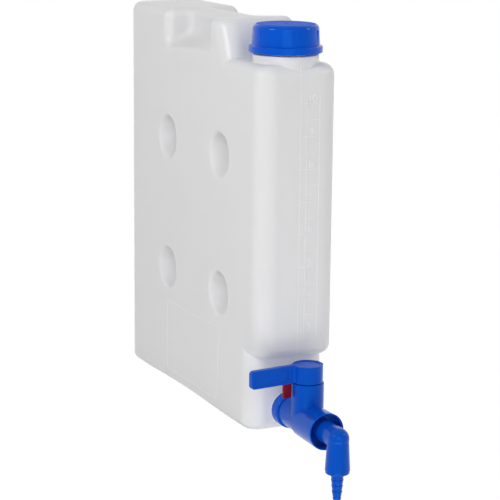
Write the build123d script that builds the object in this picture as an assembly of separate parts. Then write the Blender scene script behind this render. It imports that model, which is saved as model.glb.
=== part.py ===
from build123d import *
import os
from math import cos, radians, sin, tan

# A slim blow-moulded canister with a screw cap and a lever tap, in millimetres.
# It stands on z = 0. The cap and the tap are at the front, which faces -Y.

# Canister body
width = 90.0
rear_block_length = 113.0
grip_length = 110.0
front_block_length = 31.0
deck_length = 96.0
shoulder_height = 382.5
block_rise = 39.0
wall = 1.6
corner_radius = 20.0
base_radius = 9.0
shoulder_radius = 12.0
arch_rise = 6.2
arch_foot = 25.5

# Set-back under the front bulge, where the tap stands
set_back = 21.0
set_back_height = 81.0
bulge_radius = 10.0

# Grips on both sides of the handle web
web_width = 29.0
grip_depth = 42.0
grip_floor_rise = 13.0
grip_floor_climb = 7.5
grip_cove = 13.0
grip_corner = 8.0
rim_radius = 10.0
block_slope = 23.0
rim_flat = 1.5

# Tack-offs, where both sides are pinched together
tack_rim_diameter = 47.0
tack_taper = 21.0
tack_rounding = 4.5
tack_weld_rounding = 3.0
tack_rear_from_rear = 115.0
tack_front_from_front = 98.0
tack_upper_from_shoulder = 101.5
tack_lower_height = 133.0

# Neck
neck_from_front = 35.5
neck_diameter = 58.4
neck_wall = 2.4
neck_ring_diameter = 67.6
neck_ring_height = 8.5
neck_height = 35.0
thread_depth = 1.2

# Screw cap
cap_skirt = 2.5
cap_draft = 1.2
cap_rim_width = 2.95
cap_rim_height = 6.6
cap_gap = 9.9
cap_top_thickness = 2.0
cap_edge_rounding = 5.0
cap_thread_clearance = 0.4
cap_rib_count = 6
cap_rib_radius = 1.0
cap_rib_angle = -16.0
seal_thickness = 1.8
scoop_clearance = 2.2

# Outlet boss in the set-back wall
tap_height = 22.0
boss_diameter = 37.0
boss_proud = 1.0
boss_tube_diameter = 34.4
boss_depth = 16.0
stub_diameter = 26.4
stub_clearance = 0.1

# Tap housing
flow_diameter = 14.0
collar_diameter = 37.0
collar_length = 12.0
inlet_diameter = 33.0
barrel_diameter = 33.6
barrel_from_wall = 45.5
barrel_top = 62.6
outlet_root_diameter = 36.8
outlet_diameter = 38.6
outlet_length = 43.5
socket_diameter = 34.4
socket_depth = 14.0
socket_chamfer = 1.0
spigot_seat_depth = 13.5
gasket_thickness = 1.6
gasket_width = 3.4
running_clearance = 0.05

# Valve plug and what turns with it
plug_diameter = 26.0
plug_shoulder = 46.0
stem_diameter = 17.0
stem_square = 11.0
stem_top = 74.0
ring_section = 2.4
plug_ring_heights = (34.5, 40.5)
retainer_height = 7.0
hub_diameter = 31.2
hub_gap = 0.8
hub_height = 18.1
hub_skirt = 2.4
hub_boss_diameter = 20.0
hub_roof = 7.6
hub_edge = 2.8
cover_diameter = 25.0
cover_thickness = 2.2
cover_sink = 0.7
screw_diameter = 4.0
screw_head_diameter = 8.0
screw_head_height = 2.4
screw_length = 14.0
lever_length = 66.3
lever_bar_height = 19.0
lever_bar_thickness = 6.4
lever_bar_offset = 3.5
lever_bar_sink = 0.4
lever_corner = 4.0
lever_frame = 2.6
lever_panel_depth = 0.5
lever_front_blend = 2.5
lever_back_blend = 12.0
lever_turn_at_rest = 5.9

# Red latch under the lever
latch_width = 9.6
latch_thickness = 3.4
latch_drop = 15.4
latch_in_lever = 9.0
latch_travel = 3.0
latch_from_axis = 17.8
latch_clearance = 0.2

# Elbow nozzle and hose barb
elbow_from_wall = 112.8
spigot_diameter = 22.6
elbow_bore = 10.0
elbow_drop_bore = 10.6
bell_top_diameter = 21.8
bell_diameter = 25.4
bell_end = -13.6
bell_lip_height = 3.0
bell_lip_inset = 0.5
bell_edge = 0.8
bell_mouth_diameter = 18.6
bell_mouth_depth = 3.0
barb_plug_diameter = 15.6
barb_plug_length = 9.0
barb_washer_thickness = 1.2
barb_bore = 5.0
barb_count = 4
barb_length = 6.0
barb_first_diameter = 13.8
barb_last_diameter = 10.6
barb_slope = 1.1
barb_drop = 0.4
barb_tip_length = 3.2
snap_bead = 0.5
snap_width = 1.4

# Places worked out from the sizes above
half_width = width / 2
depth = rear_block_length + grip_length + front_block_length + deck_length
block_height = shoulder_height + block_rise
front = -depth / 2
rear = depth / 2
wall_face = front + set_back
neck_y = front + neck_from_front
neck_top = shoulder_height + neck_height
block_corner = front_block_length - rim_radius - rim_flat
grip_rear = rear - rear_block_length
grip_front = grip_rear - grip_length
block_front_y = grip_front - front_block_length
barrel_y = wall_face - barrel_from_wall
elbow_y = wall_face - elbow_from_wall
outlet_end = barrel_y - outlet_length
cap_room = neck_diameter / 2 + thread_depth + cap_thread_clearance
cap_top_radius = cap_room + cap_skirt
cap_radius = cap_top_radius + cap_draft
cap_rim_radius = cap_radius + cap_rim_width
cap_low = shoulder_height + cap_gap
cap_top = neck_top + seal_thickness + cap_top_thickness
hub_low = barrel_top + hub_gap
hub_top = hub_low + hub_height
cover_top = hub_top - cover_sink


def upright(radius, low, high, x=0.0, y=0.0):
    """A cylinder about an upright axis, from one height to another."""
    return Pos(x, y, low) * extrude(Circle(radius), high - low)


def along_y(radius, start, end, z):
    """A cylinder about an axis that runs from front to rear, between two places on it."""
    low, high = min(start, end), max(start, end)
    return Pos(0, high, z) * Rot(X=90) * extrude(Circle(radius), high - low)


def turned(points, x=0.0, y=0.0):
    """A solid turned about an upright axis from a list of radius and height pairs."""
    outline = make_face(Plane.XZ * Polyline(*points, close=True))
    return Pos(x, y, 0) * revolve(outline, Axis.Z)


def block(x_half, y_low, y_high, z_low, z_high, corner):
    """An upright block, as wide on both sides of the middle, with rounded upright edges."""
    plan = RectangleRounded(2 * x_half, y_high - y_low, corner)
    return Pos(0, (y_low + y_high) / 2, z_low) * extrude(plan, z_high - z_low)


def rounded_ends(solid, low_radius, high_radius):
    """The same block with its bottom and top edges rounded."""
    if low_radius > 0:
        solid = fillet(solid.faces().sort_by(Axis.Z)[0].edges(), low_radius)
    if high_radius > 0:
        solid = fillet(solid.faces().sort_by(Axis.Z)[-1].edges(), high_radius)
    return solid


def grip_cutter(side, inset):
    """The hand room beside the web: open at the top and the side, with a coved floor that climbs forwards."""
    web_half = web_width / 2 - inset
    reach = half_width + 10
    rim_floor = block_height - grip_depth - inset
    slope = grip_floor_rise / (half_width - web_width / 2)
    web_floor = rim_floor + slope * (half_width - web_half)
    top = block_height + 10
    profile = Polyline(
        (web_half, web_floor), (reach, rim_floor - slope * (reach - half_width)),
        (reach, top), (web_half, top), close=True,
    )
    low, high = grip_front - inset, grip_rear + inset
    forwards = Vector(0, -grip_length, grip_floor_climb)
    run = (high - low) / grip_length * forwards.length
    solid = extrude(Plane.XZ.offset(-high) * make_face(profile), run, dir=forwards)
    inner = solid.faces().sort_by(Axis.X)[0]
    floor = inner.edges().sort_by(Axis.Z)[0]
    solid = fillet(floor, grip_cove + inset)
    corners = solid.edges().filter_by(lambda e: is_grip_corner(e, web_half, reach, low, high, top))
    solid = fillet(corners, grip_corner + inset)
    return solid if side > 0 else mirror(solid, Plane.YZ)


def is_grip_corner(edge, web_half, reach, low, high, top):
    """Whether an edge is one of the cutter's end edges that meet the web or the floor."""
    middle = edge.center()
    at_end = abs(middle.Y - low) < 0.01 or abs(middle.Y - high) < 0.01
    return at_end and middle.X < reach - 0.5 and middle.Z < top - 0.5


def handle_blocks(inset):
    """Both raised blocks and the web between them, as one rounded form."""
    half = half_width - inset
    low = shoulder_height - 2 * shoulder_radius
    top = block_height - inset
    lean = tan(radians(block_slope))
    slant = inset / cos(radians(block_slope))
    face_top = block_front_y + inset * lean + slant - inset * lean
    profile = Polyline(
        (rear - inset, low), (rear - inset, top),
        (face_top - (block_height - top) * lean, top),
        (face_top - (block_height - low) * lean, low), close=True,
    )
    solid = extrude(Plane.YZ * make_face(profile), half, both=True)
    upright_edges = solid.edges().filter_by(Axis.Z)
    solid = fillet(upright_edges, corner_radius - inset)
    slanted = solid.edges().filter_by(
        lambda e: e.center().Y < grip_front and abs(abs(e.center().X) - half) < 0.01
        and abs(e.center().Z - (low + top) / 2) < 1.0
    )
    solid = fillet(slanted, block_corner - inset)
    solid -= grip_cutter(1, inset) + grip_cutter(-1, inset)
    top_edges = solid.faces().sort_by(Axis.Z)[-1].edges()
    rims = solid.edges().filter_by(
        lambda e: abs(abs(e.center().X) - half) < 0.01
        and grip_front - 3 * inset - 0.5 < e.center().Y < grip_rear + 3 * inset + 0.5
        and low + 1 < e.center().Z < top - 0.01
    )
    return fillet(top_edges + rims, rim_radius - inset)


def tack_cone(side, y, z, inset):
    """The pinched cone of one side wall, which meets its twin in the middle."""
    rim = tack_rim_diameter / 2 + inset / cos(radians(tack_taper))
    reach = half_width + 4
    end = wall if inset == 0 else -0.5
    growth = tan(radians(tack_taper))
    outline = make_face(Plane.XZ * Polyline(
        (0, end), (rim - (half_width - end) * growth, end),
        (rim + (reach - half_width) * growth, reach), (0, reach), close=True,
    ))
    cone = revolve(outline, Axis.Z)
    if inset == 0:
        cone = fillet(cone.edges().sort_by(Axis.Z)[0], tack_weld_rounding)
    return Pos(0, y, z) * Rot(Y=90 * side) * cone


def tack_centres():
    """The places of the tack-offs on a side wall."""
    rear_y = rear - tack_rear_from_rear
    front_y = front + tack_front_from_front
    upper_height = shoulder_height - tack_upper_from_shoulder
    return [(y, z) for y in (rear_y, front_y) for z in (tack_lower_height, upper_height)]


def moulded_form(inset):
    """The canister's outside at no inset, and its hollow at an inset of one wall."""
    half = half_width - inset
    column = block(half, wall_face + inset, rear - inset, inset, shoulder_height - inset, corner_radius - inset)
    column = rounded_ends(column, base_radius - inset, shoulder_radius - inset)
    bulge = block(half, front + inset, rear - inset, set_back_height + inset, shoulder_height - inset,
                  corner_radius - inset)
    bulge = rounded_ends(bulge, bulge_radius - inset, shoulder_radius - inset)
    form = column + bulge + handle_blocks(inset)
    scoop = upright(cap_rim_radius + scoop_clearance + inset, shoulder_height - inset, block_height + 5, y=neck_y)
    form -= scoop
    span = rear - wall_face - 2 * arch_foot
    arch_radius = (span ** 2 / 4 + arch_rise ** 2) / (2 * arch_rise)
    arch_y = (rear + wall_face) / 2
    arch = Pos(-width, arch_y, arch_rise - arch_radius) * Rot(Y=90) * extrude(Circle(arch_radius + inset), 2 * width)
    form -= arch
    for y, z in tack_centres():
        for side in (1, -1):
            form -= tack_cone(side, y, z, inset)
    return form


def canister():
    """The blow-moulded body: one wall all round, with the neck and the outlet boss."""
    body = moulded_form(0)
    rims = body.edges().filter_by(GeomType.CIRCLE).filter_by(
        lambda e: abs(abs(e.center().X) - half_width) < 0.01
    )
    body = fillet(rims, tack_rounding)
    ring_low = shoulder_height - shoulder_radius
    ring_top = shoulder_height + neck_ring_height
    ring = upright(neck_ring_diameter / 2, ring_low, ring_top, y=neck_y)
    ring = fillet(ring.faces().sort_by(Axis.Z)[-1].edges(), 1.2)
    neck = upright(neck_diameter / 2, ring_low, neck_top, y=neck_y)
    neck = fillet(neck.faces().sort_by(Axis.Z)[-1].edges(), 0.6)
    pad = along_y(boss_diameter / 2, wall_face - boss_proud, wall_face + base_radius, tap_height)
    hollow = moulded_form(wall)
    hollow += upright(neck_ring_diameter / 2 - wall, ring_low, ring_top - wall, y=neck_y)
    hollow += upright(neck_diameter / 2 - neck_wall, ring_low, neck_top + 1, y=neck_y)
    hollow -= along_y(boss_tube_diameter / 2, wall_face, wall_face + boss_depth, tap_height)
    bore = along_y(stub_diameter / 2 + stub_clearance, wall_face - 5, wall_face + boss_depth + 1, tap_height)
    return body + ring + neck + pad - hollow - bore


def screw_cap():
    """The cap: a skirt with a wide rim at its foot, upright ribs and an inner ledge for the seal."""
    outer = turned([
        (0, cap_low), (cap_rim_radius, cap_low), (cap_rim_radius, cap_low + cap_rim_height),
        (cap_radius, cap_low + cap_rim_height + 1.2), (cap_top_radius, cap_top), (0, cap_top),
    ], y=neck_y)
    top_edge = outer.edges().filter_by(GeomType.CIRCLE).sort_by(Axis.Z)[-1]
    outer = fillet(top_edge, cap_edge_rounding)
    rim_edges = outer.edges().filter_by(GeomType.CIRCLE).filter_by(
        lambda e: abs(e.radius - cap_rim_radius) < 0.01
    )
    outer = fillet(rim_edges, 1.1)
    rib_low = cap_low + cap_rim_height
    rib_high = cap_top - cap_edge_rounding - 0.6
    for number in range(cap_rib_count):
        angle = radians(-90 + cap_rib_angle + number * 360 / cap_rib_count)
        radius = (cap_radius + cap_top_radius) / 2 - 0.2
        rib = upright(cap_rib_radius, rib_low, rib_high, x=radius * cos(angle), y=neck_y + radius * sin(angle))
        rib = fillet(rib.faces().sort_by(Axis.Z)[-1].edges(), cap_rib_radius * 0.6)
        outer += rib
    return outer - upright(cap_room, cap_low - 1, cap_top - cap_top_thickness, y=neck_y)


def cap_seal():
    """The soft disc that the cap presses on the neck."""
    radius = neck_diameter / 2 + thread_depth
    return upright(radius, neck_top, neck_top + seal_thickness, y=neck_y)


def tap_body():
    """The tap housing: stub, collar, inlet, upright barrel and outlet socket in one moulding."""
    stub_end = wall_face + boss_depth - 1
    seat = wall_face - boss_proud
    housing = along_y(stub_diameter / 2, stub_end, seat - collar_length, tap_height)
    collar = along_y(collar_diameter / 2, seat, seat - collar_length, tap_height)
    collar = fillet(collar.edges().filter_by(GeomType.CIRCLE).sort_by(Axis.Y)[0], 1.5)
    housing += collar
    housing += along_y(inlet_diameter / 2, seat - collar_length, barrel_y, tap_height)
    outlet = Pos(0, barrel_y, tap_height) * Rot(X=90) * Cone(
        outlet_root_diameter / 2, outlet_diameter / 2, outlet_length, align=(Align.CENTER, Align.CENTER, Align.MIN))
    outlet = fillet(outlet.edges().filter_by(GeomType.CIRCLE).sort_by(Axis.Y)[0], 0.8)
    housing += outlet
    barrel = upright(barrel_diameter / 2, tap_height - 3, barrel_top, y=barrel_y)
    barrel = fillet(barrel.faces().sort_by(Axis.Z)[-1].edges(), 0.6)
    housing += barrel
    gasket_inner = stub_diameter / 2
    housing -= (along_y(gasket_inner + gasket_width, seat + 1, seat - gasket_thickness, tap_height)
                - along_y(gasket_inner, seat + 2, seat - gasket_thickness - 1, tap_height))
    housing -= along_y(flow_diameter / 2, stub_end + 1, outlet_end - 1, tap_height)
    chamber = plug_diameter / 2 + running_clearance
    housing -= upright(chamber, tap_height, barrel_top + 1, y=barrel_y)
    housing -= Pos(0, barrel_y, tap_height) * Sphere(chamber)
    housing -= along_y(socket_diameter / 2, outlet_end - 1, outlet_end + socket_depth, tap_height)
    seat_end = outlet_end + socket_depth + spigot_seat_depth
    housing -= along_y(spigot_diameter / 2 + running_clearance, outlet_end, seat_end, tap_height)
    cone = Cone(socket_diameter / 2 + socket_chamfer, socket_diameter / 2, socket_chamfer)
    housing -= Pos(0, outlet_end + socket_chamfer / 2, tap_height) * Rot(X=-90) * cone
    groove = outlet_end + socket_depth + 2
    housing -= along_y(spigot_diameter / 2 + snap_bead + running_clearance,
                       groove - running_clearance, groove + snap_width + running_clearance, tap_height)
    return housing


def outlet_gasket():
    """The flat ring between the collar and the outlet boss."""
    seat = wall_face - boss_proud
    inner = stub_diameter / 2 + 0.1
    ring = along_y(stub_diameter / 2 + gasket_width - 0.1, seat, seat - gasket_thickness, tap_height)
    return ring - along_y(inner, seat + 1, seat - gasket_thickness - 1, tap_height)


def plug_retainer():
    """The ring that keeps the plug down in the barrel, around the stem."""
    low = plug_shoulder + running_clearance
    ring = upright(plug_diameter / 2, low, low + retainer_height, y=barrel_y)
    return ring - upright(stem_diameter / 2 + running_clearance, low - 1, low + retainer_height + 1, y=barrel_y)


def ring_groove(radius, height):
    """What is cut away from the plug for a sealing ring at a height."""
    low, high = height - ring_section / 2 - 0.05, height + ring_section / 2 + 0.05
    outer = upright(radius + 1, low, high, y=barrel_y)
    return outer - upright(radius - ring_section - 0.05, low - 1, high + 1, y=barrel_y)


def plug_ring(height):
    """A sealing ring in its groove on the plug."""
    section = ring_section / 2
    ring = Torus(plug_diameter / 2 - section, section)
    return Pos(0, barrel_y, height) * ring


def valve_plug():
    """The plug: round below, bored across for the flow, with two ring grooves and a square stem."""
    radius = plug_diameter / 2
    plug = Pos(0, barrel_y, tap_height) * Sphere(radius)
    plug += upright(radius, tap_height, plug_shoulder, y=barrel_y)
    plug += upright(stem_diameter / 2, plug_shoulder, hub_low - 1, y=barrel_y)
    plug += Pos(0, barrel_y, hub_low - 1) * extrude(Rectangle(stem_square, stem_square), stem_top - hub_low + 1)
    for height in plug_ring_heights:
        plug -= ring_groove(radius, height)
    flow = Pos(-radius - 5, barrel_y, tap_height) * Rot(Y=90) * extrude(Circle(flow_diameter / 2), 2 * radius + 10)
    plug -= flow
    plug -= upright(screw_diameter / 2 + running_clearance, cover_floor() - screw_head_height - screw_length - 1,
                    stem_top + 1, y=barrel_y)
    return at_rest(plug)


def cover_floor():
    """The height of the ledge under the hub's cover."""
    return cover_top - cover_thickness


def at_rest(solid):
    """A piece that turns with the lever, drawn fully closed, moved to where it stands at rest."""
    return Pos(0, barrel_y, 0) * Rot(Z=lever_turn_at_rest) * Pos(0, -barrel_y, 0) * solid


def lever_bar():
    """The flat arm: its outline stands upright, with a raised frame round a sunk panel on each face."""
    root = hub_diameter / 2 - hub_skirt / 2
    length = lever_length - root
    height = lever_bar_height
    middle = Pos(-root - length / 2, height / 2)
    outline = middle * Rectangle(length, height)
    outline = fillet(outline.vertices().sort_by(Axis.X)[:2], lever_corner)
    arm = extrude(Plane.XZ * outline, lever_bar_thickness / 2, both=True)
    arm = fillet(arm.edges().filter_by(lambda e: abs(abs(e.center().Y) - lever_bar_thickness / 2) < 0.01), 1.0)
    panel_low = hub_diameter / 2 + lever_frame
    panel_length = lever_length - panel_low - lever_frame
    panel = RectangleRounded(panel_length, height - 2 * lever_frame, lever_corner / 2)
    sink = extrude(Plane.XZ * (Pos(-panel_low - panel_length / 2, height / 2) * panel),
                   lever_bar_thickness, both=True)
    core = Box(3 * lever_length, lever_bar_thickness - 2 * lever_panel_depth, 3 * height)
    arm -= sink - core
    return Pos(0, barrel_y + lever_bar_offset, hub_low - lever_bar_sink) * arm


def lever_blends():
    """The concave corners between the hub and both faces of the arm."""
    radius = hub_diameter / 2
    half = lever_bar_thickness / 2
    strip = Pos(-radius, lever_bar_offset) * Rectangle(2 * radius, lever_bar_thickness)
    plan = Circle(radius) + strip
    corners = plan.vertices().filter_by(lambda v: -radius - 1 < v.X < -1).sort_by(Axis.Y)
    plan = fillet(corners[0], lever_front_blend)
    corners = plan.vertices().filter_by(lambda v: -radius - 1 < v.X < -1).sort_by(Axis.Y)
    plan = fillet(corners[-1], lever_back_blend)
    plan -= Pos(-2 * radius, lever_bar_offset) * Rectangle(radius, 4 * half)
    blends = Pos(0, barrel_y, hub_low) * extrude(plan, hub_height)
    return blends - upright(radius - 1, hub_low - 1, hub_top + 1, y=barrel_y)


def lever():
    """The hub over the barrel and its arm in one moulding."""
    hub = upright(hub_diameter / 2, hub_low, hub_top, y=barrel_y)
    hub = fillet(hub.faces().sort_by(Axis.Z)[-1].edges(), hub_edge)
    hub = fillet(hub.faces().sort_by(Axis.Z)[0].edges(), 0.5)
    handle = hub + lever_bar() + lever_blends()
    skirt_room = upright(hub_diameter / 2 - hub_skirt, hub_low - 1, hub_top - hub_roof, y=barrel_y)
    handle -= skirt_room - upright(hub_boss_diameter / 2, hub_low - 2, hub_top, y=barrel_y)
    handle -= upright(cover_diameter / 2, cover_floor(), hub_top + 1, y=barrel_y)
    side = stem_square + 2 * running_clearance
    handle -= Pos(0, barrel_y, hub_low - 1) * extrude(Rectangle(side, side), stem_top + running_clearance - hub_low + 1)
    handle -= upright(screw_diameter / 2 + 0.2, stem_top - 1, hub_top, y=barrel_y)
    handle -= upright(screw_head_diameter / 2 + 0.3, cover_floor() - screw_head_height - 0.1, hub_top, y=barrel_y)
    handle -= latch_solid(latch_clearance, latch_travel + 1)
    return at_rest(handle)


def latch_solid(clearance, extra_height):
    """The latch, or with a clearance the slot that it slides in."""
    low = hub_low - latch_drop
    high = hub_low + latch_in_lever + extra_height
    x = -latch_from_axis - latch_width / 2
    plan = RectangleRounded(latch_width + 2 * clearance, latch_thickness + 2 * clearance, 1.0)
    return Pos(x, barrel_y + lever_bar_offset, low) * extrude(plan, high - low)


def lever_latch():
    """The red latch, with a rounded foot under the arm."""
    latch = latch_solid(0, 0)
    foot = latch.faces().sort_by(Axis.Z)[0]
    return at_rest(fillet(foot.edges(), 0.9))


def lever_screw():
    """The screw that holds the hub on the stem."""
    head_low = cover_floor() - screw_head_height
    screw = upright(screw_head_diameter / 2, head_low, head_low + screw_head_height, y=barrel_y)
    screw = fillet(screw.faces().sort_by(Axis.Z)[-1].edges(), 0.8)
    screw += upright(screw_diameter / 2, head_low - screw_length, head_low, y=barrel_y)
    screw -= Pos(0, barrel_y, head_low + 1.2) * (extrude(Rectangle(4.4, 0.9), 3) + extrude(Rectangle(0.9, 4.4), 3))
    return at_rest(screw)


def lever_cover():
    """The dished disc that closes the top of the hub."""
    disc = upright(cover_diameter / 2 - running_clearance, cover_floor(), cover_top, y=barrel_y)
    dish_radius = 130.0
    disc -= Pos(0, barrel_y, cover_top + dish_radius - 0.55) * Sphere(dish_radius)
    return at_rest(disc)


def domed_rod(radius, start, centre, z):
    """A rod from rear to front that ends in half a ball about a centre."""
    sides = Polyline((0, start), (radius, start), (radius, centre))
    dome = CenterArc((0, centre), radius, 0, -90)
    back = Line((0, centre - radius), (0, start))
    return Pos(0, 0, z) * revolve(make_face(sides + dome + back), Axis.Y)


def nozzle_elbow():
    """The swivelling elbow: a spigot in the tap's socket and a bell that points down."""
    radius = spigot_diameter / 2
    spigot_end = outlet_end + socket_depth + spigot_seat_depth - 0.3
    elbow = domed_rod(radius, spigot_end, elbow_y, tap_height)
    lip = bell_diameter / 2 - bell_lip_inset
    lip_top = bell_end + bell_lip_height
    bell = turned([
        (0, bell_end), (lip - bell_edge, bell_end), (lip, bell_end + bell_edge), (lip, lip_top),
        (bell_diameter / 2, lip_top + bell_lip_inset), (bell_top_diameter / 2, tap_height), (0, tap_height),
    ], y=elbow_y)
    elbow += bell
    groove = outlet_end + socket_depth + 2
    bead = along_y(radius + snap_bead - running_clearance, groove, groove + snap_width, tap_height)
    elbow += fillet(bead.edges().filter_by(GeomType.CIRCLE), 0.3)
    for place in elbow_ring_places():
        low, high = place - ring_section / 2 - 0.05, place + ring_section / 2 + 0.05
        elbow -= (along_y(radius + 1, low, high, tap_height)
                  - along_y(radius - ring_section - 0.05, low - 1, high + 1, tap_height))
    elbow -= along_y(elbow_bore / 2, spigot_end + 1, elbow_y - elbow_bore / 3, tap_height)
    elbow -= upright(elbow_drop_bore / 2, bell_end, tap_height + elbow_bore / 3, y=elbow_y)
    elbow -= upright(bell_mouth_diameter / 2, bell_end - 1, bell_end + bell_mouth_depth, y=elbow_y)
    socket_top = bell_end + bell_mouth_depth + barb_plug_length + barb_washer_thickness
    elbow -= upright(barb_plug_diameter / 2 + running_clearance, bell_end, socket_top, y=elbow_y)
    return elbow


def elbow_ring_places():
    """Where the sealing rings sit on the spigot."""
    first = outlet_end + socket_depth + 6.4
    return [first, first + ring_section + 1.4]


def elbow_ring(place):
    """A sealing ring in its groove on the spigot."""
    section = ring_section / 2
    return Pos(0, place, tap_height) * Rot(X=90) * Torus(spigot_diameter / 2 - section, section)


def barb_washer():
    """The flat washer above the hose barb."""
    low = bell_end + bell_mouth_depth + barb_plug_length
    ring = upright(barb_plug_diameter / 2 - 0.2, low, low + barb_washer_thickness, y=elbow_y)
    return ring - upright(barb_bore / 2 + 0.4, low - 1, low + 5, y=elbow_y)


def hose_barb():
    """The hose barb: a plug in the bell, and a stem of sloping rings that get smaller downwards."""
    top = bell_end + bell_mouth_depth + barb_plug_length
    points = [(0, top), (barb_plug_diameter / 2, top), (barb_plug_diameter / 2, top - barb_plug_length)]
    height = top - barb_plug_length
    points.append((barb_first_diameter / 2, height))
    height = bell_end - barb_drop
    points.append((barb_first_diameter / 2, height))
    step = (barb_first_diameter - barb_last_diameter) / 2 / (barb_count - 1)
    for number in range(barb_count):
        radius = barb_first_diameter / 2 - number * step
        foot = radius - barb_slope
        if number:
            points.append((radius, height))
        points.append((foot, height - barb_length))
        height -= barb_length
    points.append((foot, height - barb_tip_length + 0.5))
    points.append((foot - 0.5, height - barb_tip_length))
    points.append((0, height - barb_tip_length))
    barb = turned(points, y=elbow_y)
    return barb - upright(barb_bore / 2, height - barb_tip_length - 1, top + 1, y=elbow_y)


def write(node, solid):
    """One file for one node."""
    export_step(solid, f"parts/{node}.step")


os.makedirs("parts", exist_ok=True)
write("canister", canister())
write("screw_cap", screw_cap())
write("cap_seal", cap_seal())
write("tap_body", tap_body())
write("outlet_gasket", outlet_gasket())
write("plug_retainer", plug_retainer())
write("valve_plug", valve_plug())
for name, height in zip(("plug_ring_lower", "plug_ring_upper"), plug_ring_heights):
    write(name, plug_ring(height))
write("lever", lever())
write("lever_latch", lever_latch())
write("lever_screw", lever_screw())
write("lever_cover", lever_cover())
write("nozzle_elbow", nozzle_elbow())
for name, place in zip(("elbow_ring_outer", "elbow_ring_inner"), elbow_ring_places()):
    write(name, elbow_ring(place))
write("barb_washer", barb_washer())
write("hose_barb", hose_barb())
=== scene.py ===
from math import cos, pi, radians, sin

import bmesh
import bpy
from mathutils import Matrix, Vector


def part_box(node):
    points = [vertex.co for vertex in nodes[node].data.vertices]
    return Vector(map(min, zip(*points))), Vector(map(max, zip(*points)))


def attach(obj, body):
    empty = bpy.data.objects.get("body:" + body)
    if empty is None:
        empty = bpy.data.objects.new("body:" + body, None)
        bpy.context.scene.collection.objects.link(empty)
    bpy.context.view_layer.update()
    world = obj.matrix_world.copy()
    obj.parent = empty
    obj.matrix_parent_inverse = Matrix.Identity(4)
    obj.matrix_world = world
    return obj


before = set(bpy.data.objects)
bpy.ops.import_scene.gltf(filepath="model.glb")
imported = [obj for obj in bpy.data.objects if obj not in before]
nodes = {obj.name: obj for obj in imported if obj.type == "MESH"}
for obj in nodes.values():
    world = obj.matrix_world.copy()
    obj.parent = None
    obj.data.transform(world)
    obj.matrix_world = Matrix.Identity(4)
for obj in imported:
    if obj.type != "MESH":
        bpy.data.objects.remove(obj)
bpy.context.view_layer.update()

# Canister: one shell of natural polyethylene, blown into a two-part mould.
# The plastic is milky, lets a little light through and has a soft sheen,
# with faint upright flow streaks from the tube that it was blown from.


class Socket:
    """One output of a material's nodes, which takes part in sums and products."""

    def __init__(self, shader, output):
        self.shader = shader
        self.output = output

    def math(self, operation, *others):
        return self.shader.add("ShaderNodeMath", {"operation": operation},
                               dict(enumerate((self,) + others)))["Value"]

    def __add__(self, other):
        return self.math("ADD", other)

    def __sub__(self, other):
        return self.math("SUBTRACT", other)

    def __rsub__(self, other):
        return self.shader.add("ShaderNodeMath", {"operation": "SUBTRACT"}, {0: other, 1: self})["Value"]

    def __mul__(self, other):
        return self.math("MULTIPLY", other)

    __radd__ = __add__
    __rmul__ = __mul__


class Shader:
    """The nodes of one material, around a principled surface."""

    def __init__(self, name, **values):
        self.material = bpy.data.materials.new(name)
        self.material.use_nodes = True
        self.tree = self.material.node_tree
        self.surface = self.tree.nodes["Principled BSDF"]
        self.set(**values)

    def set(self, **values):
        for name, value in values.items():
            self.join(value, self.surface.inputs[name.replace("_", " ")])

    def join(self, value, target):
        if isinstance(value, Socket):
            self.tree.links.new(value.output, target)
        else:
            target.default_value = value

    def add(self, kind, settings=None, inputs=None):
        """A node of a kind, with its settings and the values or links of its sockets."""
        made = self.tree.nodes.new(kind)
        for name, value in (settings or {}).items():
            setattr(made, name, value)
        for name, value in (inputs or {}).items():
            self.join(value, made.inputs[name])
        return {output.name: Socket(self, output) for output in made.outputs if output.enabled}

    def place(self, scale=(1, 1, 1)):
        """The point on the object, stretched by a scale on each axis."""
        point = self.add("ShaderNodeTexCoord")["Object"]
        return self.add("ShaderNodeMapping", {}, {"Vector": point, "Scale": scale})["Vector"]

    def noise(self, size, scale=(1, 1, 1), detail=2.0):
        """A soft cloud pattern from 0 to 1, with blotches of a size in metres."""
        inputs = {"Vector": self.place(scale), "Scale": 1 / size, "Detail": detail}
        return self.add("ShaderNodeTexNoise", {}, inputs)["Fac"]

    def blend(self, amount, low, high):
        """A colour between two, by an amount from 0 to 1."""
        inputs = {0: amount, 6: low, 7: high}
        return self.add("ShaderNodeMix", {"data_type": "RGBA"}, inputs)["Result"]

    def bump(self, height, depth, strength=1.0):
        """A surface that is raised by a height of 0 to 1 times a depth in metres."""
        inputs = {"Height": height, "Distance": depth, "Strength": strength}
        return self.add("ShaderNodeBump", {}, inputs)["Normal"]


def dress(shader, *names):
    """Gives a finish to CAD nodes in place of their own."""
    for name in names:
        nodes[name].data.materials.clear()
        nodes[name].data.materials.append(shader.material)


milky = Shader("milky_polyethylene", IOR=1.5, Specular_IOR_Level=0.3, Subsurface_Weight=0.5,
               Subsurface_Scale=0.003, Subsurface_Radius=(1, 1, 1))
streaks = milky.noise(0.02, (1, 1, 0.06), 3.0)
clouds = milky.noise(0.09, (1, 1, 0.6))
peel = milky.noise(0.004, (1, 1, 0.5))
shade = streaks * 0.4 + clouds * 0.6
relief = peel * 0.25 + streaks * 0.75
milky.set(Base_Color=milky.blend(shade, (0.84, 0.84, 0.85, 1), (0.88, 0.88, 0.89, 1)),
          Roughness=peel * 0.1 + 0.27, Normal=milky.bump(relief, 0.0004, 0.35))
dress(milky, "canister")


def add_piece(name, shape, shader, body):
    """A finished piece from a bmesh, which moves with a CAD body."""
    mesh = bpy.data.meshes.new(name)
    shape.to_mesh(mesh)
    shape.free()
    mesh.materials.append(shader.material)
    made = bpy.data.objects.new(name, mesh)
    bpy.context.scene.collection.objects.link(made)
    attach(made, body)
    return made


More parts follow.
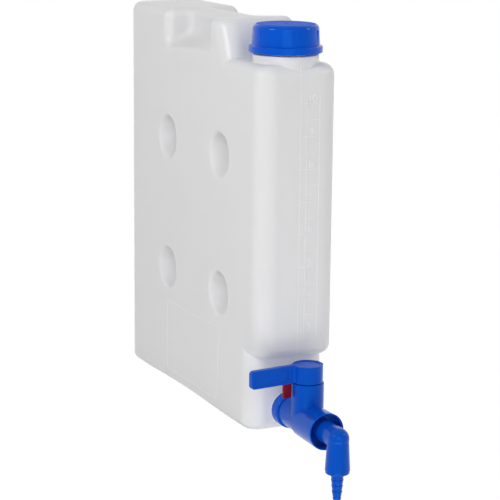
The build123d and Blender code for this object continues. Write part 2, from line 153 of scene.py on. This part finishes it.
def thicken(piece, thickness):
    """Gives a flat piece a thickness, with half of it on each side."""
    skin = piece.modifiers.new("thickness", "SOLIDIFY")
    skin.thickness = thickness
    skin.offset = 0.0


# Raised marks: the milky plastic without its translucency, painted a few shades lighter than the wall. The
# lighter colour is a painted highlight for the light that their raised edges catch; the mottle in it is a
# random tone.
milky_marks_painted_highlight = Shader("milky_marks_painted_highlight", IOR=1.5, Specular_IOR_Level=0.3)
mottle = milky_marks_painted_highlight.noise(0.02, (1, 1, 0.6))
milky_marks_painted_highlight.set(Base_Color=milky_marks_painted_highlight.blend(mottle, (0.92, 0.92, 0.93, 1), (0.96, 0.96, 0.97, 1)),
                Roughness=mottle * 0.08 + 0.36)

# Parting seam: a fine raised line, where the two halves of the blow mould met.
# It runs round the canister in its middle plane and is part of the same moulding. It is drawn in the marks'
# lighter colour, a painted highlight.
seam_width, seam_height = 0.0009, 0.00012
wall_high, neck_rear, nearly_level = 0.384, -0.1, 0.9
hollow_middle = Vector((0, 0.01, 0.2))
seam = bmesh.new()
seam.from_mesh(nodes["canister"].data)
bmesh.ops.remove_doubles(seam, verts=seam.verts, dist=1e-6)
everything = seam.verts[:] + seam.edges[:] + seam.faces[:]
cut = bmesh.ops.bisect_plane(seam, geom=everything, dist=1e-6, plane_co=(0, 0, 0), plane_no=(1, 0, 0))
seam.normal_update()
outer = set()
for line in cut["geom_cut"]:
    if isinstance(line, bmesh.types.BMEdge) and line.link_faces:
        facing = sum((face.normal for face in line.link_faces), Vector())
        middle = (line.verts[0].co + line.verts[1].co) / 2
        on_wall = middle.z < wall_high and facing.dot(middle - hollow_middle) > 0
        on_top = middle.y > neck_rear and facing.z > nearly_level
        if on_wall or on_top:
            outer.add(line)
bmesh.ops.delete(seam, geom=seam.faces[:], context="FACES_ONLY")
bmesh.ops.delete(seam, geom=[line for line in seam.edges if line not in outer], context="EDGES")
bmesh.ops.delete(seam, geom=[vertex for vertex in seam.verts if not vertex.link_edges], context="VERTS")
wide = bmesh.ops.extrude_edge_only(seam, edges=seam.edges[:])["geom"]
moved = [item for item in wide if isinstance(item, bmesh.types.BMVert)]
bmesh.ops.translate(seam, verts=seam.verts, vec=(-seam_width / 2, 0, 0))
bmesh.ops.translate(seam, verts=moved, vec=(seam_width, 0, 0))
seam_line = add_piece("parting_seam", seam, milky_marks_painted_highlight, "canister_with_tap")
thicken(seam_line, 2 * seam_height)

# Litre scale: raised lines and numbers on the front wall, moulded with the canister.
# There is a line for every half litre, and a number over each whole one. They are drawn in the marks' lighter
# colour, a painted highlight.
front_face = -0.175
mark_height = 0.0003
litre_rise, fourth_litre = 0.03357, 0.1429
scale_left, scale_right, scale_edge = 0.0072, 0.018, 0.0215
scale_low, scale_high = 0.1, 0.352
whole_litre_left = 0.001
upright_half, line_half = 0.0003, 0.0004
number_size, number_gap = 0.0105, 0.0012


def add_bar(shape, low, high):
    """A straight raised bar on the front wall, from its lowest left to its highest right corner."""
    made = bmesh.ops.create_cube(shape, size=1.0)["verts"]
    size = (high[0] - low[0], 2 * mark_height, high[1] - low[1])
    middle = Matrix.Translation(((low[0] + high[0]) / 2, front_face, (low[1] + high[1]) / 2))
    bmesh.ops.transform(shape, matrix=middle @ Matrix.Diagonal((*size, 1)), verts=made)


scale = bmesh.new()
for upright in (scale_left, scale_edge):
    add_bar(scale, (upright - upright_half, scale_low), (upright + upright_half, scale_high))
for half_litres in range(6, 21):
    line_z = fourth_litre + (half_litres / 2 - 4) * litre_rise
    line_left = whole_litre_left if half_litres % 2 == 0 else scale_left
    add_bar(scale, (line_left, line_z - line_half), (scale_right, line_z + line_half))
add_piece("scale_lines", scale, milky_marks_painted_highlight, "canister_with_tap")
for litres in range(3, 11):
    words = bpy.data.curves.new(f"number_{litres}", "FONT")
    words.body = str(litres)
    words.size = number_size
    words.extrude = mark_height
    words.align_x = "CENTER"
    drawn = bpy.data.objects.new(f"number_{litres}", words)
    bpy.context.scene.collection.objects.link(drawn)
    bpy.context.view_layer.update()
    number = bmesh.new()
    number.from_mesh(bpy.data.meshes.new_from_object(drawn))
    bpy.data.objects.remove(drawn)
    foot = fourth_litre + (litres - 4) * litre_rise + number_gap
    stand_at = Matrix.Translation(((scale_left + scale_right) / 2, front_face, foot))
    bmesh.ops.transform(number, verts=number.verts, matrix=stand_at @ Matrix.Rotation(pi / 2, 4, "X"))
    add_piece(f"litre_number_{litres}", number, milky_marks_painted_highlight, "canister_with_tap")

# Label field: a thin raised border low on the left side, moulded with the wall.
# It frames the place for a label, and is drawn in the marks' lighter colour, a painted highlight.
side_face = -0.045
field_front, field_rear, field_low, field_high = -0.078, 0.06, 0.015, 0.095
field_corner, border_width, border_thickness = 0.006, 0.0008, 0.0005
border = bmesh.new()
corners = [(field_front, field_low), (field_rear, field_low),
           (field_rear, field_high), (field_front, field_high)]
border.faces.new([border.verts.new((side_face, y, z)) for y, z in corners])
bmesh.ops.bevel(border, geom=border.verts[:], offset=field_corner, segments=6, profile=0.5,
                affect="VERTICES", material=-1)
ring = bmesh.ops.inset_region(border, faces=border.faces[:], thickness=border_width, use_boundary=True,
                              use_even_offset=True)["faces"]
bmesh.ops.delete(border, geom=[face for face in border.faces if face not in ring], context="FACES")
label_border = add_piece("label_border", border, milky_marks_painted_highlight, "canister_with_tap")
thicken(label_border, border_thickness)

# Neck thread: a coarse raised thread of one and a half turns round the neck.
# It is blown with the canister, so it is of the same milky plastic.
neck_middle = (0, -0.1395, 0)
thread_pitch, turn_steps = 0.006, 72
root_half, crest_half = 0.0012, 0.0006


def add_thread(shape, root, crest, low, turns):
    """A raised thread round the neck's axis, with its section from root to crest radius."""
    section = [(root, -root_half), (crest, -crest_half), (crest, crest_half), (root, root_half)]
    start = [shape.verts.new((radius, neck_middle[1], low + rise)) for radius, rise in section]
    edges = [shape.edges.new((start[i], start[(i + 1) % 4])) for i in range(4)]
    swept = bmesh.ops.spin(shape, geom=start + edges, cent=neck_middle, axis=(0, 0, 1),
                           dvec=(0, 0, thread_pitch / turn_steps), angle=2 * pi * turns,
                           steps=int(turn_steps * turns))["geom_last"]
    shape.faces.new(start)
    shape.faces.new([item for item in swept if isinstance(item, bmesh.types.BMVert)])
    bmesh.ops.recalc_face_normals(shape, faces=shape.faces)


neck_thread = bmesh.new()
add_thread(neck_thread, root=0.0290, crest=0.0303, low=0.4005, turns=1.6)
add_piece("neck_thread", neck_thread, milky, "canister_with_tap")

# Screw cap: injection-moulded polypropylene, dyed blue right through.
# It is glossy, with very slight flow marks and a fine unevenness in the shine.


def moulded_plastic(name, dark, light, roughness, tint=(1, 1, 1, 1), matt_above=1.0):
    """A dyed plastic, a little uneven in its shade and shine, which is matt above a height in metres."""
    plastic = Shader(name, IOR=1.49, Specular_IOR_Level=0.4, Specular_Tint=tint)
    flow = plastic.noise(0.012, (1, 1, 0.4))
    grain = plastic.noise(0.0011)
    height = plastic.add("ShaderNodeSeparateXYZ", {}, {"Vector": plastic.place()})["Z"]
    matt = height.math("GREATER_THAN", matt_above)
    plastic.set(Base_Color=plastic.blend(flow, dark, light),
                Roughness=grain * 0.06 + matt * 0.4 + roughness,
                Normal=plastic.bump(flow * 0.8 + grain * 0.2, 0.00012, 0.4))
    return plastic


cap_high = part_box("screw_cap")[1].z
blue_tint = (0.1, 0.5, 1, 1)
cap_blue = moulded_plastic("cap_blue_polypropylene", (0.001, 0.075, 0.58, 1), (0.002, 0.095, 0.68, 1), 0.16,
                           blue_tint, matt_above=cap_high - 0.0004)
dress(cap_blue, "screw_cap")

# Cap thread: the matching thread inside the cap's skirt, moulded with the cap.
# It keeps a small gap to the neck's thread.
cap_thread = bmesh.new()
add_thread(cap_thread, root=0.0309, crest=0.0297, low=0.4035, turns=1.4)
add_piece("cap_thread", cap_thread, cap_blue, "cap")

# Gate mark: the small round scar in the middle of the cap's top, where the plastic ran in.
# It stands up a little from the matt top face.
gate = bmesh.new()
bmesh.ops.create_cone(gate, cap_ends=True, segments=32, radius1=0.0026, radius2=0.002, depth=0.0006)
bmesh.ops.translate(gate, verts=gate.verts, vec=(0, neck_middle[1], cap_high))
add_piece("cap_gate_mark", gate, cap_blue, "cap")

# Tap: blue polypropylene too, a shade darker than the cap. Its housing, lever, cover,
# elbow, barb and the ring that keeps the plug down are separate mouldings.
tap_blue = moulded_plastic("tap_blue_polypropylene", (0.001, 0.064, 0.48, 1), (0.002, 0.086, 0.58, 1), 0.16,
                           blue_tint)
dress(tap_blue, "tap_body", "lever", "lever_cover", "nozzle_elbow", "hose_barb", "plug_retainer")

# Lever mark: a raised two-headed arrow in the sunk panel of the arm's front face,
# which shows that the arm turns both ways. It is moulded with the lever.
lever_axis, lever_angle = (0, -0.1995, 0), radians(5.9)
arm_offset, arm_half, panel_depth = 0.0035, 0.0032, 0.0005
panel_face = arm_offset - arm_half + panel_depth
arrow_level, arrow_height = 0.0725, 0.0003
arrow = bmesh.new()
outline = [(-0.030, 0), (-0.036, 0.004), (-0.036, 0.0013), (-0.044, 0.0013), (-0.044, 0.004), (-0.050, 0),
           (-0.044, -0.004), (-0.044, -0.0013), (-0.036, -0.0013), (-0.036, -0.004)]
flat = arrow.faces.new([arrow.verts.new((x, panel_face, arrow_level + z)) for x, z in outline])
raised = bmesh.ops.extrude_face_region(arrow, geom=[flat])["geom"]
bmesh.ops.translate(arrow, vec=(0, -arrow_height, 0),
                    verts=[item for item in raised if isinstance(item, bmesh.types.BMVert)])
bmesh.ops.recalc_face_normals(arrow, faces=arrow.faces)
lever_rest = Matrix.Translation(lever_axis) @ Matrix.Rotation(lever_angle, 4, "Z")
bmesh.ops.transform(arrow, matrix=lever_rest, verts=arrow.verts)
add_piece("lever_arrow", arrow, tap_blue, "lever_and_plug")

# Latch: a small red polypropylene moulding in a slot under the lever's root.
# It slides up into the slot, and has the same shine as the lever.
red = moulded_plastic("latch_red_polypropylene", (0.16, 0.003, 0.012, 1), (0.24, 0.005, 0.018, 1), 0.25,
                      (1, 0.2, 0.3, 1))
dress(red, "lever_latch")

# Plug: white acetal, turned to a close fit in the barrel and bored across for the flow.
# It is smooth, with a dull shine, and turns with the lever.
white = moulded_plastic("plug_white_acetal", (0.72, 0.72, 0.7, 1), (0.8, 0.8, 0.78, 1), 0.35)
dress(white, "valve_plug")

# Sealing rings, gasket and washer: black nitrile rubber with a dull bloom.
# They are moulded rings that sit in the grooves of the plug, the spigot and the collar.
rubber = moulded_plastic("black_nitrile_rubber", (0.012, 0.012, 0.012, 1), (0.03, 0.03, 0.03, 1), 0.55)
dress(rubber, "outlet_gasket", "plug_ring_lower", "plug_ring_upper", "elbow_ring_outer", "elbow_ring_inner",
      "barb_washer")

# Cap liner: a disc of closed-cell foam, punched from a sheet.
# It lies in the cap's top and is pressed on the neck's rim.
foam = moulded_plastic("white_liner_foam", (0.74, 0.74, 0.72, 1), (0.84, 0.84, 0.82, 1), 0.7)
dress(foam, "cap_seal")

# Lever screw: plated steel, turned and lightly brushed round its head.
# It holds the hub on the plug's square stem, under the cover.
steel = Shader("plated_steel", Metallic=1.0, IOR=2.5)
brushing = steel.noise(0.0006, (1, 1, 6))
steel.set(Base_Color=steel.blend(brushing, (0.5, 0.5, 0.5, 1), (0.62, 0.62, 0.62, 1)),
          Roughness=brushing * 0.2 + 0.25)
dress(steel, "lever_screw")

# Shelf and floor: a white block under the canister, which ends behind the tap so that
# the nozzle hangs free over its edge, and a white floor below it. Both shine by a share
# where they are seen, so that they look white and keep a soft shadow.
shine_share, shine_strength = 0.92, 1.065
stage_white = Shader("stage_white", Base_Color=(0.8, 0.8, 0.8, 1), Roughness=0.9, Specular_IOR_Level=0.1)
rays = stage_white.add("ShaderNodeLightPath")
shine = stage_white.add("ShaderNodeEmission", {}, {"Color": (1, 1, 1, 1), "Strength": shine_strength})
seen = (rays["Is Camera Ray"] + rays["Is Glossy Ray"] + rays["Is Transmission Ray"]) * shine_share
plain = Socket(stage_white, stage_white.surface.outputs["BSDF"])
mixed = stage_white.add("ShaderNodeMixShader", {}, {0: seen, 1: plain, 2: shine["Emission"]})["Shader"]
stage_white.join(mixed, stage_white.tree.nodes["Material Output"].inputs["Surface"])


def stage_block(name, low, high):
    """A plain white block of the stage, from its lowest to its highest corner."""
    shape = bmesh.new()
    bmesh.ops.create_cube(shape, size=1.0)
    size = Vector(high) - Vector(low)
    middle = Matrix.Translation((Vector(high) + Vector(low)) / 2)
    bmesh.ops.transform(shape, matrix=middle @ Matrix.Diagonal((*size, 1)), verts=shape.verts)
    mesh = bpy.data.meshes.new(name)
    shape.to_mesh(mesh)
    shape.free()
    mesh.materials.append(stage_white.material)
    made = bpy.data.objects.new(name, mesh)
    bpy.context.scene.collection.objects.link(made)


stage_block("shelf", (-0.06, -0.148, -0.6), (0.06, 0.2, 0.0))
stage_block("floor", (-4, -4, -0.61), (4, 4, -0.6))

# Sky: pure white where it is seen, mirrored or seen through, and a dim white fill
# for everything that it lights.
fill_strength, seen_strength = 0.38, 1.0
world = bpy.data.worlds.new("studio")
bpy.context.scene.world = world
world.use_nodes = True
sky = world.node_tree
sky_rays = sky.nodes.new("ShaderNodeLightPath")
direct = sky_rays.outputs["Is Camera Ray"]
for kind in ("Is Glossy Ray", "Is Transmission Ray"):
    either = sky.nodes.new("ShaderNodeMath")
    either.operation = "ADD"
    sky.links.new(direct, either.inputs[0])
    sky.links.new(sky_rays.outputs[kind], either.inputs[1])
    direct = either.outputs[0]
pick = sky.nodes.new("ShaderNodeMixShader")
sky.links.new(direct, pick.inputs[0])
backgrounds = [(sky.nodes["Background"], fill_strength), (sky.nodes.new("ShaderNodeBackground"), seen_strength)]
for side, (white_sky, strength) in enumerate(backgrounds, start=1):
    white_sky.inputs["Color"].default_value = (1, 1, 1, 1)
    white_sky.inputs["Strength"].default_value = strength
    sky.links.new(white_sky.outputs[0], pick.inputs[side])
sky.links.new(pick.outputs[0], sky.nodes["World Output"].inputs["Surface"])

# Lamps: a small bright one on each side for the highlights, a large one in front, a weak
# one above, and one below that lifts the undersides.


def lamp(name, place, target, size, power):
    """A soft lamp of a width and height, which faces a point."""
    light = bpy.data.lights.new(name, "AREA")
    light.shape = "RECTANGLE"
    light.size, light.size_y = size
    light.energy = power
    made = bpy.data.objects.new(name, light)
    made.location = place
    made.rotation_euler = (Vector(target) - Vector(place)).to_track_quat("-Z", "Y").to_euler()
    bpy.context.scene.collection.objects.link(made)


lamp("left_lamp", (-1.4, -0.45, 1.1), (0, -0.15, 0.2), size=(0.24, 0.24), power=9)
lamp("right_lamp", (1.35, -0.86, 1.07), (0, -0.15, 0.2), size=(0.2, 0.2), power=4.5)
lamp("front_softbox", (-0.6, -1.9, 0.7), (0, -0.1, 0.25), size=(1.2, 1.2), power=6.5)
lamp("top_softbox", (0.0, -0.2, 1.8), (0, 0, 0.2), size=(1.0, 1.0), power=0.5)
lamp("low_softbox", (-0.3, -0.95, -0.5), (0, -0.1, 0.1), size=(1.0, 0.5), power=3.6)

# Camera: a long lens from the front left, a little above. Its place and its angles
# are those that the edges of the canister show.
turn, tilt, roll = radians(25.62), radians(12.25), radians(0.575)
reach, aside, height = 1.9782, 0.02627, 0.58976
focal_pixels, picture_pixels, sensor_width = 1836.1, 500, 36.0
right = Vector((cos(turn), -sin(turn), 0))
ahead = Vector((sin(turn), cos(turn), 0))
look = cos(tilt) * ahead - sin(tilt) * Vector((0, 0, 1))
up = sin(tilt) * ahead + cos(tilt) * Vector((0, 0, 1))
view_right = cos(roll) * right + sin(roll) * up
view_up = -sin(roll) * right + cos(roll) * up
camera_data = bpy.data.cameras.new("camera")
camera_data.sensor_width = sensor_width
camera_data.lens = focal_pixels / picture_pixels * sensor_width
camera_data.clip_end = 50.0
camera = bpy.data.objects.new("camera", camera_data)
stands_at = Matrix.Translation(-ahead * reach + right * aside + Vector((0, 0, height)))
camera.matrix_world = stands_at @ Matrix((view_right, view_up, -look)).transposed().to_4x4()
bpy.context.scene.collection.objects.link(camera)
bpy.context.scene.camera = camera
bpy.context.scene.view_settings.view_transform = "Standard"
